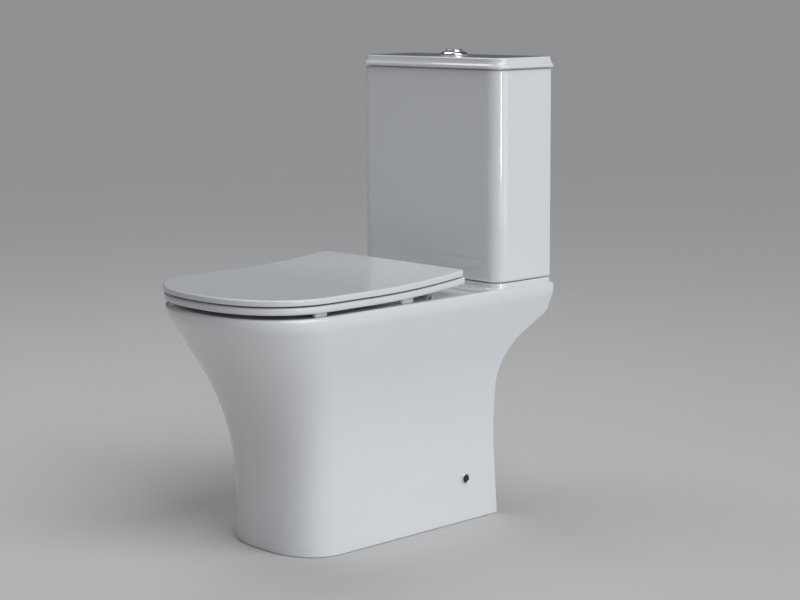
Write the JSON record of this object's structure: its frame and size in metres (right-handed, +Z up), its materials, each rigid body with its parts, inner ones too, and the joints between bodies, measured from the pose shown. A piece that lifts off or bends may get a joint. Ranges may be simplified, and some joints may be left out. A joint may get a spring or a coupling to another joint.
{
  "type": "close coupled toilet",
  "caption": "Close coupled toilet: skirted ceramic pan with open back, bolted cistern with lid and push button, slim hinged seat and lid.",
  "frame": {"origin": "on the floor under the middle of the bounding box", "axes": "+Z up, +Y towards the wall behind the cistern, the pan's front faces -Y, +X to the left of someone sitting on it"},
  "size_m": [0.36, 0.665, 0.826],
  "materials": {
    "ceramic": "gloss",
    "seat": "satin",
    "chrome": "polished",
    "steel": "zinc plated",
    "white_plastic": "moulded",
    "grey_plastic": "moulded",
    "blue_plastic": "moulded",
    "rubber": "matte",
    "buffer": "matte"
  },
  "bodies": {
    "fixed": {"pan": "ceramic", "cistern": "ceramic", "coupling_gasket": "rubber", "cistern_bolt_l": "steel", "cistern_bolt_r": "steel", "bolt_seal_l": "rubber", "bolt_seal_r": "rubber", "bolt_washer_l": "steel", "bolt_washer_r": "steel", "bolt_wing_nut_l": "white_plastic", "bolt_wing_nut_r": "white_plastic", "flush_valve_base": "white_plastic", "flush_valve_washer": "rubber", "flush_valve_back_nut": "grey_plastic", "flush_valve_cage": "blue_plastic", "fill_valve_shank": "white_plastic", "fill_valve_washer": "rubber", "fill_valve_lock_nut": "grey_plastic", "fill_valve_head": "grey_plastic", "floor_bracket_l": "white_plastic", "floor_bracket_r": "white_plastic", "side_screw_l": "steel", "side_screw_r": "steel", "screw_cap_l": "chrome", "screw_cap_r": "chrome", "hinge_post_l": "chrome", "hinge_post_r": "chrome", "hinge_pin_l": "steel", "hinge_pin_r": "steel", "hinge_stud_l": "steel", "hinge_stud_r": "steel", "hinge_washer_l": "rubber", "hinge_washer_r": "rubber", "hinge_wing_nut_l": "white_plastic", "hinge_wing_nut_r": "white_plastic"},
    "seat": {"seat_ring": "seat", "seat_buffer_front_l": "buffer", "seat_buffer_front_r": "buffer", "seat_buffer_rear_l": "buffer", "seat_buffer_rear_r": "buffer"},
    "lid": {"seat_lid": "seat", "lid_buffer_l": "buffer", "lid_buffer_r": "buffer"},
    "cistern_lid": {"cistern_lid": "ceramic", "button_bezel": "chrome", "bezel_nut": "white_plastic"},
    "full_button": {"full_flush_button": "chrome", "full_flush_rod": "white_plastic"},
    "half_button": {"half_flush_button": "chrome", "half_flush_rod": "white_plastic"},
    "pinion": {"flush_pinion": "white_plastic"},
    "valve": {"overflow_tube": "white_plastic", "flush_seal": "rubber"},
    "float": {"float_cup": "white_plastic"},
    "arm": {"float_arm": "blue_plastic"}
  },
  "joints": [
    {"name": "seat_hinge", "type": "hinge", "parent": "fixed", "child": "seat", "pos_m": [0, 0.1045, 0.432], "axis": [-1, 0, 0], "range_deg": [0, 96]},
    {"name": "lid_hinge", "type": "hinge", "parent": "seat", "child": "lid", "pos_m": [0, 0.1045, 0.432], "axis": [1, 0, 0], "range_deg": [-98, 0]},
    {"name": "cistern_lid_lift", "type": "slide", "parent": "fixed", "child": "cistern_lid", "axis": [0, 0, 1], "range_m": [0, 0.12]},
    {"name": "full_flush_push", "type": "slide", "parent": "cistern_lid", "child": "full_button", "axis": [0, 0, -1], "range_m": [0, 0.007], "stiffness_N_per_m": 400, "springref_m": -0.006},
    {"name": "half_flush_push", "type": "slide", "parent": "cistern_lid", "child": "half_button", "axis": [0, 0, -1], "range_m": [0, 0.007], "stiffness_N_per_m": 400, "springref_m": -0.006},
    {"name": "pinion_turn", "type": "hinge", "parent": "fixed", "child": "pinion", "pos_m": [0.0018, 0.25775, 0.7163], "axis": [0, -1, 0], "range_deg": [0, 70]},
    {"name": "valve_lift", "type": "slide", "parent": "fixed", "child": "valve", "axis": [0, 0, 1], "range_m": [0, 0.0075]},
    {"name": "float_rise", "type": "slide", "parent": "fixed", "child": "float", "axis": [0, 0, 1], "range_m": [0, 0.02]},
    {"name": "float_arm_turn", "type": "hinge", "parent": "fixed", "child": "arm", "pos_m": [-0.1005, 0.27575, 0.7143], "axis": [-1, 0, 0], "range_deg": [0, 30]}
  ],
  "couplings": [
    {"joint": "pinion_turn", "follows": "full_flush_push", "rad_per_m": 166.67},
    {"joint": "valve_lift", "follows": "full_flush_push", "ratio": 1},
    {"joint": "float_arm_turn", "follows": "float_rise", "rad_per_m": 25}
  ]
}
